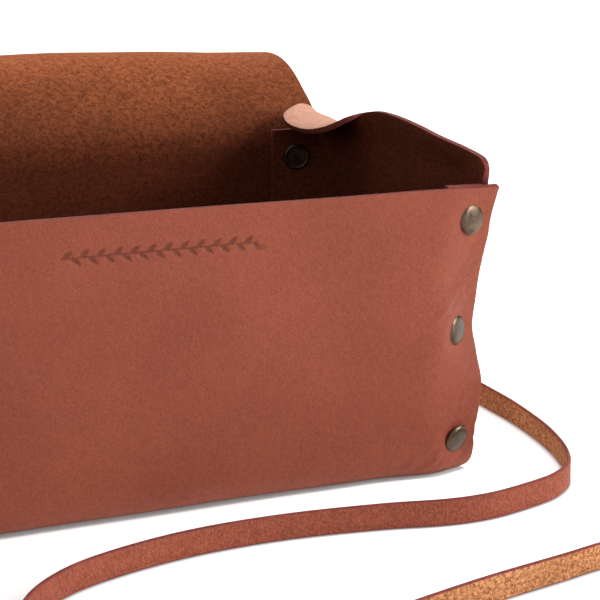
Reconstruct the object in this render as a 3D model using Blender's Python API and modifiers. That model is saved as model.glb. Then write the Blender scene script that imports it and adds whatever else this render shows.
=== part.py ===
"""Leather wash bag with a thrown-back lid, folding ears and a long tie strap.

X runs along the bag, Y from front to back, Z up.  The origin is the middle of the base.
Every leather piece is cut from 2 mm sheet.  The lid is drawn flat and shut, then opened
about its fold lines.
"""
import math

import bmesh
import bpy
from mathutils import Matrix, Vector

# Bag body
LENGTH = 0.225
DEPTH = 0.130
HEIGHT = 0.094
LEATHER = 0.002
BASE_FOLD = 0.008
GAP = 0.0003

# Side panels, folded in behind the front and back
FLANGE = 0.022
SIDE_X = 0.1123
SIDE_Y = DEPTH / 2 - LEATHER - GAP
FLANGE_FOOT = 0.007
WEB_FOOT_Y = 0.057
SIDE_TOP = 0.0916
CORNER_FOLD = 0.0024

# Ears, the dust flaps that carry on above the side panels
EAR_Y = 0.0592
EAR_Z = 0.0940
EAR_FRONT = 0.0125
EAR_BACK = 0.0165
EAR_FRONT_RADIUS = 0.008
EAR_BACK_RADIUS = 0.012
EAR_SLOT_END = 0.0004

# Lid, measured forward from its back fold when shut
LID_WIDTH = 0.224
LID_UNDER = 0.0952
LID_BACK_Y = 0.064
CROWN_FOLD = 0.035
FRONT_FOLD = 0.070
DROP_FOLD = 0.134
LID_LENGTH = 0.202
BACK_OPEN = 142.0
CROWN_OPEN = 42.0
FRONT_OPEN = 41.0
DROP_OPEN = 33.0
LID_CORNER = 0.012
BACK_SLIT = 0.0006
SECTION_SLIT = 0.0002
DROP_SLIT = 0.0009

# Rivets
RIVET_X = 0.102
RIVET_HEIGHTS = (0.083, 0.048, 0.013)
RIVET_RADIUS = 0.005
RIVET_DOME = 0.0016
POST_RADIUS = 0.0015
BORE_RADIUS = 0.0018
STRAP_RIVET_Z = 0.016
STRAP_RIVET_RADIUS = 0.0036
BORE_Y = 0.0645
BORE_DEPTH = 0.012

# Tie strap, standing on its edge: it leaves its rivet low on the back, runs round the right
# end, turns back along the front, loops out to the left and returns to a coil on the right
STRAP_WIDTH = 0.008
STRAP_THICK = 0.002
STRAP_SPACING = 0.010
FLOOR = STRAP_WIDTH / 2 + 0.0002
STRAP_ROUTE = (
    (-0.0070, 0.0664, 0.0160),
    (0.0100, 0.0664, 0.0160),
    (0.0350, 0.0665, 0.0148),
    (0.0700, 0.0672, 0.0096),
    (0.1000, 0.0684, 0.0052),
    (0.1220, 0.0670, FLOOR),
    (0.1370, 0.0560, FLOOR),
    (0.1440, 0.0350, FLOOR),
    (0.1456, 0.0130, FLOOR),
    (0.1455, -0.0100, FLOOR),
    (0.1448, -0.0280, FLOOR),
    (0.1418, -0.0510, FLOOR),
    (0.1372, -0.0690, FLOOR),
    (0.1322, -0.0812, FLOOR),
    (0.1272, -0.0890, FLOOR),
    (0.1200, -0.0950, FLOOR),
    (0.1120, -0.0988, FLOOR),
    (0.0960, -0.1032, FLOOR),
    (0.0850, -0.1042, FLOOR),
    (0.0740, -0.1030, FLOOR),
    (0.0560, -0.0988, FLOOR),
    (0.0280, -0.0952, FLOOR),
    (0.0000, -0.0960, FLOOR),
    (-0.0260, -0.1020, FLOOR),
    (-0.0450, -0.1112, FLOOR),
    (-0.0590, -0.1265, FLOOR),
    (-0.0655, -0.1480, FLOOR),
    (-0.0580, -0.1710, FLOOR),
    (-0.0370, -0.1820, FLOOR),
    (-0.0080, -0.1785, FLOOR),
    (0.0320, -0.1672, FLOOR),
    (0.0590, -0.1602, FLOOR),
    (0.0840, -0.1550, FLOOR),
    (0.1000, -0.1514, FLOOR),
    (0.1180, -0.1490, FLOOR),
    (0.1430, -0.1495, FLOOR),
    (0.1690, -0.1510, FLOOR),
)

# Coil of the strap's spare length, a ring that the strap joins on its near side
COIL_CENTRE = (0.184, -0.111)
COIL_OUTER = 0.041
COIL_INNER = 0.032


def clear_scene():
    for item in list(bpy.data.objects):
        bpy.data.objects.remove(item, do_unlink=True)


def collection(name):
    group = bpy.data.collections.new(name)
    bpy.context.scene.collection.children.link(group)
    return group


def material(name, colour, roughness, metallic=0.0):
    made = bpy.data.materials.new(name)
    made.use_nodes = True
    shader = made.node_tree.nodes["Principled BSDF"]
    shader.inputs["Base Color"].default_value = (*colour, 1.0)
    shader.inputs["Roughness"].default_value = roughness
    shader.inputs["Metallic"].default_value = metallic
    made.diffuse_color = (*colour, 1.0)
    return made


def leather(name):
    return material(name, (0.40, 0.13, 0.07), 0.55)


def add_object(name, data, group, made=None):
    made_object = bpy.data.objects.new(name, data)
    group.objects.link(made_object)
    if made is not None:
        data.materials.append(made)
    return made_object


def mesh_from(bm, name):
    mesh = bpy.data.meshes.new(name)
    bmesh.ops.recalc_face_normals(bm, faces=bm.faces)
    bm.to_mesh(mesh)
    bm.free()
    return mesh


def arc(centre, radius, start, end, steps):
    points = []
    for i in range(steps + 1):
        angle = math.radians(start + (end - start) * i / steps)
        points.append((centre[0] + radius * math.cos(angle), centre[1] + radius * math.sin(angle)))
    return points


def solidify(item, thickness):
    shell = item.modifiers.new("thickness", "SOLIDIFY")
    shell.thickness = thickness
    shell.offset = -1.0
    shell.use_even_offset = True


def bore(item, cutter):
    cut = item.modifiers.new("rivet holes", "BOOLEAN")
    cut.operation = "DIFFERENCE"
    cut.solver = "EXACT"
    cut.object = cutter


def rivet_bores(group):
    """One cutter holding every rivet's hole, each running along Y."""
    bm = bmesh.new()
    spots = [(x, y, z) for x in (-RIVET_X, RIVET_X) for y in (-1, 1) for z in RIVET_HEIGHTS]
    spots.append((0.0, 1, STRAP_RIVET_Z))
    for x, side, z in spots:
        place = Matrix.Translation((x, side * BORE_Y, z)) @ Matrix.Rotation(math.radians(90), 4, "X")
        bmesh.ops.create_cone(bm, cap_ends=True, segments=16, radius1=BORE_RADIUS,
                              radius2=BORE_RADIUS, depth=BORE_DEPTH, matrix=place)
    cutter = add_object("rivet_bores", mesh_from(bm, "rivet_bores"), group)
    cutter.hide_render = True
    cutter.display_type = "WIRE"
    return cutter


def body_panel(group, cutter):
    """Front, base and back: one strip bent twice."""
    half = DEPTH / 2
    profile = [(-half, HEIGHT)]
    profile += arc((-half + BASE_FOLD, BASE_FOLD), BASE_FOLD, 180, 270, 6)
    profile += arc((half - BASE_FOLD, BASE_FOLD), BASE_FOLD, 270, 360, 6)
    profile.append((half, HEIGHT))
    bm = bmesh.new()
    left = [bm.verts.new((-LENGTH / 2, y, z)) for y, z in profile]
    edges = [bm.edges.new(pair) for pair in zip(left, left[1:])]
    grown = bmesh.ops.extrude_edge_only(bm, edges=edges)["geom"]
    moved = [part for part in grown if isinstance(part, bmesh.types.BMVert)]
    bmesh.ops.translate(bm, verts=moved, vec=(LENGTH, 0, 0))
    for face in bm.faces:
        face.normal_update()
        middle = face.calc_center_median()
        if face.normal.dot(middle - Vector((middle.x, 0, HEIGHT / 2))) < 0:
            face.normal_flip()
    mesh = bpy.data.meshes.new("body_panel")
    bm.to_mesh(mesh)
    bm.free()
    item = add_object("body_panel", mesh, group, leather("body_leather"))
    solidify(item, LEATHER)
    bore(item, cutter)


def side_panel(name, side, group, cutter):
    """A side with its front, back and bottom flanges folded inward."""
    inner = SIDE_X - FLANGE
    web = [(-SIDE_Y, HEIGHT), (-SIDE_Y, FLANGE_FOOT), (-WEB_FOOT_Y, LEATHER + GAP)]
    web += [(-y, z) for y, z in reversed(web)]
    slot_end = EAR_Y + EAR_SLOT_END
    web += [(slot_end, HEIGHT), (slot_end, SIDE_TOP), (-slot_end, SIDE_TOP), (-slot_end, HEIGHT)]
    bm = bmesh.new()
    ring = [bm.verts.new((SIDE_X, y, z)) for y, z in web]
    faces = [bm.faces.new(ring)]
    for first, second in ((0, 1), (2, 3), (4, 5)):
        far = [bm.verts.new((inner, ring[i].co.y, ring[i].co.z)) for i in (first, second)]
        faces.append(bm.faces.new((ring[second], ring[first], far[0], far[1])))
    for vert in bm.verts:
        vert.co.x *= side
    for face in bm.faces:
        face.normal_update()
        middle = face.calc_center_median()
        if face.normal.dot(middle - Vector((side * inner, 0, HEIGHT / 2))) < 0:
            face.normal_flip()
    mesh = bpy.data.meshes.new(name)
    bm.to_mesh(mesh)
    bm.free()
    item = add_object(name, mesh, group, leather(name + "_leather"))
    folds = item.modifiers.new("folds", "BEVEL")
    folds.width = CORNER_FOLD
    folds.segments = 3
    folds.limit_method = "ANGLE"
    folds.angle_limit = math.radians(40)
    solidify(item, LEATHER)
    bore(item, cutter)


def curve_mesh(name, data):
    """The closed mesh of a curve, its caps welded on."""
    draft = bpy.data.objects.new(name + "_draft", data)
    bpy.context.scene.collection.objects.link(draft)
    bpy.context.view_layer.update()
    mesh = bpy.data.meshes.new_from_object(draft)
    bpy.data.objects.remove(draft, do_unlink=True)
    bpy.data.curves.remove(data)
    mesh.name = name
    bm = bmesh.new()
    bm.from_mesh(mesh)
    bmesh.ops.remove_doubles(bm, verts=bm.verts, dist=0.00001)
    bmesh.ops.recalc_face_normals(bm, faces=bm.faces)
    bm.to_mesh(mesh)
    bm.free()
    mesh.materials.clear()
    return mesh


def sheet(name, outline, thickness, group, made):
    """A flat cut-out in local XY, its thickness running up from local Z = 0."""
    data = bpy.data.curves.new(name, "CURVE")
    data.dimensions = "2D"
    data.fill_mode = "BOTH"
    data.extrude = thickness / 2
    spline = data.splines.new("POLY")
    spline.points.add(len(outline) - 1)
    for point, (x, y) in zip(spline.points, outline):
        point.co = (x, y, 0, 1)
    spline.use_cyclic_u = True
    mesh = curve_mesh(name, data)
    mesh.transform(Matrix.Translation((0, 0, thickness / 2)))
    return add_object(name, mesh, group, made)


def ear(name, side, group):
    """An upright ear: local Y runs up from the fold line and local Z inward from the outer face."""
    outline = [(-EAR_Y, 0), (EAR_Y, 0)]
    outline += arc((EAR_Y - EAR_BACK_RADIUS, EAR_BACK - EAR_BACK_RADIUS), EAR_BACK_RADIUS, 0, 90, 6)
    outline += arc((-EAR_Y + EAR_FRONT_RADIUS, EAR_FRONT - EAR_FRONT_RADIUS),
                   EAR_FRONT_RADIUS, 90, 180, 6)
    outline = [(-side * y, z) for y, z in outline]
    item = sheet(name, outline, LEATHER, group, leather(name + "_leather"))
    stand = Matrix(((0, 0, -side, 0), (-side, 0, 0, 0), (0, 1, 0, 0), (0, 0, 0, 1)))
    item.matrix_world = Matrix.Translation((side * SIDE_X, 0, EAR_Z)) @ stand


def swing(pivot, degrees):
    """Opens what hangs on a fold line along X at pivot (y, z)."""
    centre = Vector((0, pivot[0], pivot[1]))
    turn = Matrix.Rotation(-math.radians(degrees), 4, "X")
    return Matrix.Translation(centre) @ turn @ Matrix.Translation(-centre)


def lid_sections():
    """Name, start and end along the lid, fold line when shut and its opening angle."""
    outer = LID_UNDER + LEATHER
    return (
        ("lid_back", BACK_SLIT, CROWN_FOLD - SECTION_SLIT, (LID_BACK_Y, LID_UNDER), BACK_OPEN),
        ("lid_crown", CROWN_FOLD + SECTION_SLIT, FRONT_FOLD - SECTION_SLIT,
         (LID_BACK_Y - CROWN_FOLD, outer), CROWN_OPEN),
        ("lid_front", FRONT_FOLD + SECTION_SLIT, DROP_FOLD - DROP_SLIT,
         (LID_BACK_Y - FRONT_FOLD, outer), FRONT_OPEN),
        ("lid_drop", DROP_FOLD + DROP_SLIT, LID_LENGTH,
         (LID_BACK_Y - DROP_FOLD, LID_UNDER), DROP_OPEN),
    )


def lid(group):
    """Four sections of the lid, each with its origin on its own fold line."""
    opened = Matrix.Identity(4)
    half = LID_WIDTH / 2
    for name, start, end, pivot, degrees in lid_sections():
        opened = opened @ swing(pivot, degrees)
        near = LID_BACK_Y - start - pivot[0]
        far = LID_BACK_Y - end - pivot[0]
        outline = [(half, near), (-half, near)]
        if name == "lid_drop":
            outline += arc((-half + LID_CORNER, far + LID_CORNER), LID_CORNER, 180, 270, 5)
            outline += arc((half - LID_CORNER, far + LID_CORNER), LID_CORNER, 270, 360, 5)
        else:
            outline += [(-half, far), (half, far)]
        item = sheet(name, outline, LEATHER, group, leather(name + "_leather"))
        item.data.transform(Matrix.Translation((0, 0, LID_UNDER - pivot[1])))
        item.matrix_world = opened @ Matrix.Translation((0, pivot[0], pivot[1]))


def turned(name, profile, steps, group, made, place):
    """A round piece turned about local Z from a profile running down its outer side."""
    bm = bmesh.new()
    verts = [bm.verts.new((x, 0, z)) for x, z in profile]
    for pair in zip(verts, verts[1:]):
        bm.edges.new(pair)
    mesh = bpy.data.meshes.new(name)
    bm.to_mesh(mesh)
    bm.free()
    item = add_object(name, mesh, group, made)
    screw = item.modifiers.new("turn", "SCREW")
    screw.steps = steps
    screw.render_steps = steps
    screw.use_merge_vertices = True
    screw.merge_threshold = 0.00001
    screw.use_smooth_shade = True
    item.matrix_world = place


def cap_profile(radius, dome):
    return [(0, dome), (radius * 0.45, dome * 0.93), (radius * 0.78, dome * 0.72),
            (radius * 0.96, dome * 0.42), (radius, dome * 0.2), (radius * 0.95, 0)]


def rivet(name, x, side, z, outside, inside, radius, group, made):
    """A double-cap rivet: the outer cap carries the post, the inner cap closes it."""
    outward = Matrix.Rotation(math.radians(90 if side < 0 else -90), 4, "X")
    inward = Matrix.Rotation(math.radians(-90 if side < 0 else 90), 4, "X")
    grip = outside - inside + GAP
    cap = cap_profile(radius, RIVET_DOME)
    post = cap + [(POST_RADIUS, 0), (POST_RADIUS, -grip), (0, -grip)]
    turned(name + "_cap", post, 16, group, made,
           Matrix.Translation((x, side * (outside + GAP), z)) @ outward)
    turned(name + "_back", cap + [(0, 0)], 16, group, made,
           Matrix.Translation((x, side * (inside - 2 * GAP), z)) @ inward)


def rivets(group):
    brass = material("rivet_brass", (0.16, 0.12, 0.08), 0.35, 1.0)
    levels = ("top", "middle", "bottom")
    inside = SIDE_Y - LEATHER
    for side_name, x in (("right", RIVET_X), ("left", -RIVET_X)):
        for face, side in (("front", -1), ("rear", 1)):
            for level, z in zip(levels, RIVET_HEIGHTS):
                name = "rivet_%s_%s_%s" % (face, side_name, level)
                rivet(name, x, side, z, DEPTH / 2, inside, RIVET_RADIUS, group, brass)
    outside = DEPTH / 2 + GAP + STRAP_THICK + GAP
    rivet("rivet_strap", 0.0, 1, STRAP_RIVET_Z, outside, DEPTH / 2 - LEATHER,
          STRAP_RIVET_RADIUS, group, brass)


def smooth_route(points, spacing):
    """Points about evenly spaced along a Catmull-Rom curve through the given ones."""
    ends = [2 * points[0] - points[1]] + points + [2 * points[-1] - points[-2]]
    fine = [points[0]]
    for before, start, end, after in zip(ends, ends[1:], ends[2:], ends[3:]):
        for i in range(1, 13):
            t = i / 12
            fine.append(0.5 * (2 * start + (end - before) * t
                               + (2 * before - 5 * start + 4 * end - after) * t ** 2
                               + (3 * start - before - 3 * end + after) * t ** 3))
    total = sum((b - a).length for a, b in zip(fine, fine[1:]))
    count = round(total / spacing)
    route = [fine[0]]
    walked = 0.0
    for a, b in zip(fine, fine[1:]):
        step = (b - a).length
        while len(route) < count and walked + step >= total * len(route) / count:
            route.append(a.lerp(b, (total * len(route) / count - walked) / step))
        walked += step
    route.append(fine[-1])
    return route


def strap(group, cutter):
    """The flat strap up to its coil."""
    data = bpy.data.curves.new("strap", "CURVE")
    data.dimensions = "3D"
    data.twist_mode = "Z_UP"
    data.extrude = STRAP_WIDTH / 2 - STRAP_THICK / 2
    data.bevel_depth = STRAP_THICK / 2
    data.bevel_resolution = 1
    data.use_fill_caps = True
    route = smooth_route([Vector(point) for point in STRAP_ROUTE], STRAP_SPACING)
    spline = data.splines.new("POLY")
    spline.points.add(len(route) - 1)
    for point, place in zip(spline.points, route):
        point.co = (*place, 1)
    mesh = curve_mesh("strap", data)
    item = add_object("strap", mesh, group, leather("strap_leather"))
    bore(item, cutter)


def coil(group):
    """The outer shape of the coiled spare length, turned about its own axis."""
    low = FLOOR - STRAP_WIDTH / 2
    high = FLOOR + STRAP_WIDTH / 2
    profile = [(COIL_INNER, high), (COIL_OUTER, high), (COIL_OUTER, low), (COIL_INNER, low)]
    turned("strap_coil", profile + profile[:1], 32, group, leather("coil_leather"),
           Matrix.Translation((*COIL_CENTRE, 0)))


clear_scene()
parts = collection("wash_bag")
cutters = collection("cutters")
holes = rivet_bores(cutters)
body_panel(parts, holes)
side_panel("side_panel_right", 1, parts, holes)
side_panel("side_panel_left", -1, parts, holes)
ear("ear_right", 1, parts)
ear("ear_left", -1, parts)
lid(parts)
rivets(parts)
strap(parts, holes)
coil(parts)
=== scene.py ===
"""Leather wash bag, open, with its lid thrown back and its tie strap lying on the table.

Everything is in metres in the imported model's frame: X along the bag, Y to the back, Z up.
"""
import math

import bmesh
import bpy
from mathutils import Matrix, Vector, noise
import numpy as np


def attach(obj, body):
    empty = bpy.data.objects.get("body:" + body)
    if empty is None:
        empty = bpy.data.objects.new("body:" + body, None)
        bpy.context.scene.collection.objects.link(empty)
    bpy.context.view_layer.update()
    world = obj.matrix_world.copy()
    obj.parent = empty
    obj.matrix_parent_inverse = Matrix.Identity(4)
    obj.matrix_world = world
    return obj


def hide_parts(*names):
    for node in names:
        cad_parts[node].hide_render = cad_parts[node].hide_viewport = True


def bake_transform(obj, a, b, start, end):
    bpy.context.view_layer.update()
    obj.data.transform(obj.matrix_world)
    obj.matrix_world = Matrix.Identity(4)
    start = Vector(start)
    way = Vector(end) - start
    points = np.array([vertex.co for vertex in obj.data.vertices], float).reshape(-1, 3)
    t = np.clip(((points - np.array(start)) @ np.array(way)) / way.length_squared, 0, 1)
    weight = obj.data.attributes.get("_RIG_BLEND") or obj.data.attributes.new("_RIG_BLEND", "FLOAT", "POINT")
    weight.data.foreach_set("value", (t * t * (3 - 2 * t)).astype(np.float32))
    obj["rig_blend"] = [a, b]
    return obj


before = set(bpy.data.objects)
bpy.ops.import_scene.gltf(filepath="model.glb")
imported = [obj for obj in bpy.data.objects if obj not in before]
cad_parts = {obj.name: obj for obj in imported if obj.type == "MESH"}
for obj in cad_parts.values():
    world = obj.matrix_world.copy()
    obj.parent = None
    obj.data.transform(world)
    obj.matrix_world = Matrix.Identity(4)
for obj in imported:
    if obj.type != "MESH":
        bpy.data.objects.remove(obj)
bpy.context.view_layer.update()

# The material slots of a leather piece
GRAIN, FLESH, EDGE = 0, 1, 2


def add(name, data):
    """Puts a mesh, a camera or a light in the scene."""
    item = bpy.data.objects.new(name, data)
    bpy.context.scene.collection.objects.link(item)
    return item


def to_mesh(name, bm):
    mesh = bpy.data.meshes.new(name)
    bm.to_mesh(mesh)
    bm.free()
    return mesh


# ------------------------ camera
CAMERA_PLACE = (-0.17808, -0.56769, 0.19927)
CAMERA_TURN = (math.radians(76.123), 0.0, math.radians(-24.026))
CAMERA_LENS = 113.16


def camera():
    """The photograph's viewpoint."""
    data = bpy.data.cameras.new("camera")
    data.lens = CAMERA_LENS
    data.sensor_width = 36.0
    data.clip_start = 0.02
    item = add("camera", data)
    item.location = CAMERA_PLACE
    item.rotation_euler = CAMERA_TURN
    bpy.context.scene.camera = item


camera()


# ------------------------ tie strap
STRAP_WIDTH = 0.008
STRAP_THICK = 0.0013
# Rounding of its edges, spacing of its rings, and how far it leans and waves
STRAP_SOFT = 0.00035
STRAP_STEP = 0.0022
STRAP_LEAN = 0.0012
STRAP_WAVE = 0.00008
# Height of the strap's middle where it stands on its edge on the table
FLOOR = STRAP_WIDTH / 2 + 0.0002
# The strap's middle line from its rivet down behind the bag, then along the table to its coil
STRAP_FALL = (
    (-0.0070, 0.0664, 0.0160), (0.0100, 0.0664, 0.0160), (0.0350, 0.0665, 0.0148),
    (0.0700, 0.0672, 0.0096), (0.1000, 0.0684, 0.0052),
)
STRAP_LAID = (
    (0.1220, 0.0670), (0.1370, 0.0560), (0.1440, 0.0350), (0.1456, 0.0130), (0.1455, -0.0100),
    (0.1448, -0.0280), (0.1418, -0.0510), (0.1372, -0.0690), (0.1322, -0.0812),
    (0.1272, -0.0890), (0.1200, -0.0950), (0.1120, -0.0988), (0.0960, -0.1032),
    (0.0850, -0.1042), (0.0740, -0.1030), (0.0560, -0.0988), (0.0280, -0.0952),
    (0.0000, -0.0960), (-0.0260, -0.1020), (-0.0450, -0.1112), (-0.0590, -0.1265),
    (-0.0655, -0.1480), (-0.0580, -0.1710), (-0.0370, -0.1820), (-0.0080, -0.1785),
    (0.0320, -0.1672), (0.0590, -0.1602), (0.0840, -0.1550), (0.1000, -0.1514),
    (0.1180, -0.1490), (0.1430, -0.1495), (0.1690, -0.1510),
)
STRAP_ROUTE = STRAP_FALL + tuple((x, y, FLOOR) for x, y in STRAP_LAID)
# The coil's outer radius, and how much each turn closes in
COIL_CENTRE = (0.184, -0.111)
COIL_START = 0.0400
COIL_PITCH = 0.0034
COIL_TURNS = 1.5
COIL_STEPS = 28
CURVE_STEPS = 16


def coil_points():
    """The coil inwards from its outer turn, anticlockwise from its near side."""
    points = []
    for i in range(int(COIL_STEPS * COIL_TURNS) + 1):
        turn = i / COIL_STEPS
        angle = math.radians(-90) + 2 * math.pi * turn
        radius = COIL_START - COIL_PITCH * turn
        points.append((COIL_CENTRE[0] + radius * math.cos(angle),
                       COIL_CENTRE[1] + radius * math.sin(angle), FLOOR))
    return points


def catmull(points, spacing):
    """Points about evenly spaced along the smooth curve through the given ones."""
    points = [Vector(p) for p in points]
    ends = [2 * points[0] - points[1]] + points + [2 * points[-1] - points[-2]]
    fine = [points[0]]
    for before, start, end, after in zip(ends, ends[1:], ends[2:], ends[3:]):
        for i in range(1, CURVE_STEPS + 1):
            t = i / CURVE_STEPS
            fine.append(0.5 * (2 * start + (end - before) * t
                               + (2 * before - 5 * start + 4 * end - after) * t ** 2
                               + (3 * start - before - 3 * end + after) * t ** 3))
    total = sum((b - a).length for a, b in zip(fine, fine[1:]))
    count = round(total / spacing)
    route = [fine[0]]
    walked = 0.0
    for a, b in zip(fine, fine[1:]):
        step = (b - a).length
        while len(route) < count and walked + step >= total * len(route) / count:
            route.append(a.lerp(b, (total * len(route) / count - walked) / step))
        walked += step
    route.append(fine[-1])
    return route


def strap_section(wave):
    """The strap's cut: flesh face on the right of its travel, grain on the left, soft edges.

    Each point is (out, up) with the material of the face that starts from it.
    """
    top, side = STRAP_WIDTH / 2, STRAP_THICK / 2
    rim, shoulder = side * 0.62, top - STRAP_SOFT
    return [
        (side, -shoulder, FLESH), (side + wave, 0.0, FLESH), (side, shoulder, EDGE),
        (rim, top, EDGE), (-rim, top, EDGE), (-side, shoulder, GRAIN),
        (-side, 0.0, GRAIN), (-side, -shoulder, EDGE), (-rim, -top, EDGE),
        (rim, -top, EDGE),
    ]


def strap():
    """The tie strap, one band swept along its route."""
    route = catmull(list(STRAP_ROUTE) + coil_points()[1:], STRAP_STEP)
    bm = bmesh.new()
    rings = []
    for i, place in enumerate(route):
        ahead = route[min(i + 1, len(route) - 1)] - route[max(i - 1, 0)]
        ahead.z = 0
        ahead.normalize()
        right = Vector((ahead.y, -ahead.x, 0))
        lean = STRAP_LEAN * noise.noise(Vector((i * 0.03, 3.1, 0)))
        wave = STRAP_WAVE * noise.noise(Vector((i * 0.4, 9.0, 1)))
        ring = []
        for out, up, _ in strap_section(wave):
            offset = right * (out + lean * up / STRAP_WIDTH)
            ring.append(bm.verts.new(place + offset + Vector((0, 0, up))))
        rings.append(ring)
    slots = [slot for _, _, slot in strap_section(0.0)]
    for a, b in zip(rings, rings[1:]):
        for k in range(len(a)):
            j = (k + 1) % len(a)
            face = bm.faces.new((a[k], a[j], b[j], b[k]))
            face.material_index = slots[k]
            face.smooth = True
    for ring in (rings[0], rings[-1]):
        bm.faces.new(ring).material_index = EDGE
    bmesh.ops.recalc_face_normals(bm, faces=bm.faces)
    item = add("tie_strap", to_mesh("tie_strap", bm))
    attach(item, "bag")
    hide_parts("strap", "strap_coil")
    return item


tie = strap()


# ------------------------ shared helpers
LEATHER = 0.002
DEPTH = 0.130
# Half the body sheet's length along the bag, and the height its front panel is drawn to
HALF = 0.1135
PANEL_TOP = 0.094
# Folds in a sheet sharper than this are edges to soften
SHARP = math.radians(62)


def smooth(t):
    """Eases from 0 to 1."""
    t = min(max(t, 0.0), 1.0)
    return t * t * (3 - 2 * t)


def spline_at(rows, at):
    """Catmull-Rom through rows of (position, values...), read at a position."""
    k = 0
    while k < len(rows) - 2 and at > rows[k + 1][0]:
        k += 1
    p1, p2 = rows[k], rows[k + 1]
    p0 = rows[k - 1] if k else p1
    p3 = rows[k + 2] if k + 2 < len(rows) else p2
    t = min(max((at - p1[0]) / (p2[0] - p1[0]), 0.0), 1.0)
    values = []
    for a, b, c, d in zip(p0[1:], p1[1:], p2[1:], p3[1:]):
        slope_in = (c - a) * (p2[0] - p1[0]) / (p2[0] - p0[0])
        slope_out = (d - b) * (p2[0] - p1[0]) / (p3[0] - p1[0])
        values.append((2 * t ** 3 - 3 * t * t + 1) * b + (t ** 3 - 2 * t * t + t) * slope_in
                      + (3 * t * t - 2 * t ** 3) * c + (t ** 3 - t * t) * slope_out)
    return values


def table(rows, at):
    """A value read off a short table of (position, value)."""
    return spline_at(rows, at)[0]


def bell(distance, width):
    """1 at no distance, and falling off to nothing."""
    return math.exp(-(distance / width) ** 2 / 2)


def spaced(start, end, step):
    """Numbers from start to end, about a step apart."""
    count = max(1, round(abs(end - start) / step))
    return [start + (end - start) * i / count for i in range(count + 1)]


def grid_mesh(name, columns, hole=None, flip=False, mark=None, cut_rows=()):
    """A sheet of quads through columns of points, but for those that hole leaves out.

    mark gives how far each point is pressed, or takes painted shade or a painted highlight, for its
    material.  cut_rows are where the sheet carries on in another piece.
    """
    bm = bmesh.new()
    layer = bm.verts.layers.float.new("mark") if mark else None
    cut = bm.verts.layers.float.new("cut")
    rows = len(columns[0])
    verts = [[None] * rows for _ in columns]

    def vert(i, j):
        if verts[i][j] is None:
            verts[i][j] = bm.verts.new(columns[i][j])
            if layer:
                verts[i][j][layer] = mark(i, j)
            verts[i][j][cut] = 1.0 if j in cut_rows else 0.0
        return verts[i][j]

    for i in range(len(columns) - 1):
        for j in range(rows - 1):
            if hole and hole(i, j):
                continue
            corners = [vert(i, j), vert(i + 1, j), vert(i + 1, j + 1), vert(i, j + 1)]
            if flip:
                corners.reverse()
            bm.faces.new(corners).smooth = True
    return to_mesh(name, bm)


def thicken(item, base, even=True, edge=0.00045):
    """Gives a sheet its thickness and soft burnished edges; base is its own face's side."""
    for polygon in item.data.polygons:
        polygon.material_index = base
    shell = item.modifiers.new("thickness", "SOLIDIFY")
    shell.thickness = LEATHER
    shell.offset = -1.0
    shell.use_even_offset = even
    shell.use_quality_normals = True
    shell.material_offset = FLESH - base if base == GRAIN else GRAIN - base
    shell.material_offset_rim = EDGE - base
    for _ in range(3):
        item.data.materials.append(None)
    apply_modifiers(item)
    bm = bmesh.new()
    bm.from_mesh(item.data)
    cut = bm.verts.layers.float["cut"]
    weight = bm.edges.layers.float.new("bevel_weight_edge")
    for line in bm.edges:
        if len(line.link_faces) == 2 and line.calc_face_angle() > SHARP:
            if all(v[cut] > 0.5 for v in line.verts):
                line.smooth = False
            else:
                line[weight] = 1.0
    bm.to_mesh(item.data)
    bm.free()
    soft = item.modifiers.new("edges", "BEVEL")
    soft.width = edge
    soft.segments = 2
    soft.limit_method = "WEIGHT"
    soft.material = EDGE
    apply_modifiers(item)


def apply_modifiers(item):
    """Makes the mesh with its modifiers the item's own."""
    bpy.context.view_layer.update()
    graph = bpy.context.evaluated_depsgraph_get()
    mesh = bpy.data.meshes.new_from_object(item.evaluated_get(graph))
    item.modifiers.clear()
    mesh.name = item.name
    old = item.data
    item.data = mesh
    bpy.data.meshes.remove(old)


# ------------------------ plan of the riveted corners
# By height: how far the sheet turns in, in degrees, and where along it the turn starts
FRONT_TURN = (
    (0.000, 17), (0.012, 20), (0.020, 18), (0.029, 17), (0.038, 26), (0.047, 35), (0.058, 30),
    (0.068, 24), (0.076, 21), (0.083, 20), (0.090, 12), (0.094, 5),
)
FRONT_START = (
    (0.000, 0.088), (0.014, 0.086), (0.029, 0.083), (0.048, 0.088), (0.068, 0.087),
    (0.083, 0.092), (0.094, 0.092),
)
REAR_TURN = (
    (0.000, 15), (0.013, 18), (0.030, 10), (0.048, 24), (0.066, 16), (0.083, 12), (0.094, 5),
)
REAR_START = ((0.000, 0.084), (0.094, 0.090))
# By height: where the front panel ends; past SHRINK_START it is drawn in or out to end there
FRONT_END = (
    (0.000, 0.1066), (0.002, 0.1085), (0.006, 0.1100), (0.0125, 0.1110), (0.022, 0.1131),
    (0.029, 0.1136), (0.048, 0.1135), (0.068, 0.1141), (0.083, 0.1148), (0.094, 0.1154),
)
SHRINK_START = 0.079
TURN_RUN = 0.013
# Beside the rivets the turn eases off again by this share
EASE_OFF, EASE_OFF_START, EASE_OFF_RUN = 0.35, 0.104, 0.009
# How far along the sheet the rivets are
RIVET_S = 0.1048
TOP_RIVET_S = 0.1054
REAR_RIVET_S = 0.1010
PLAN_STEP = 0.0005
_plans = {}


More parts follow.
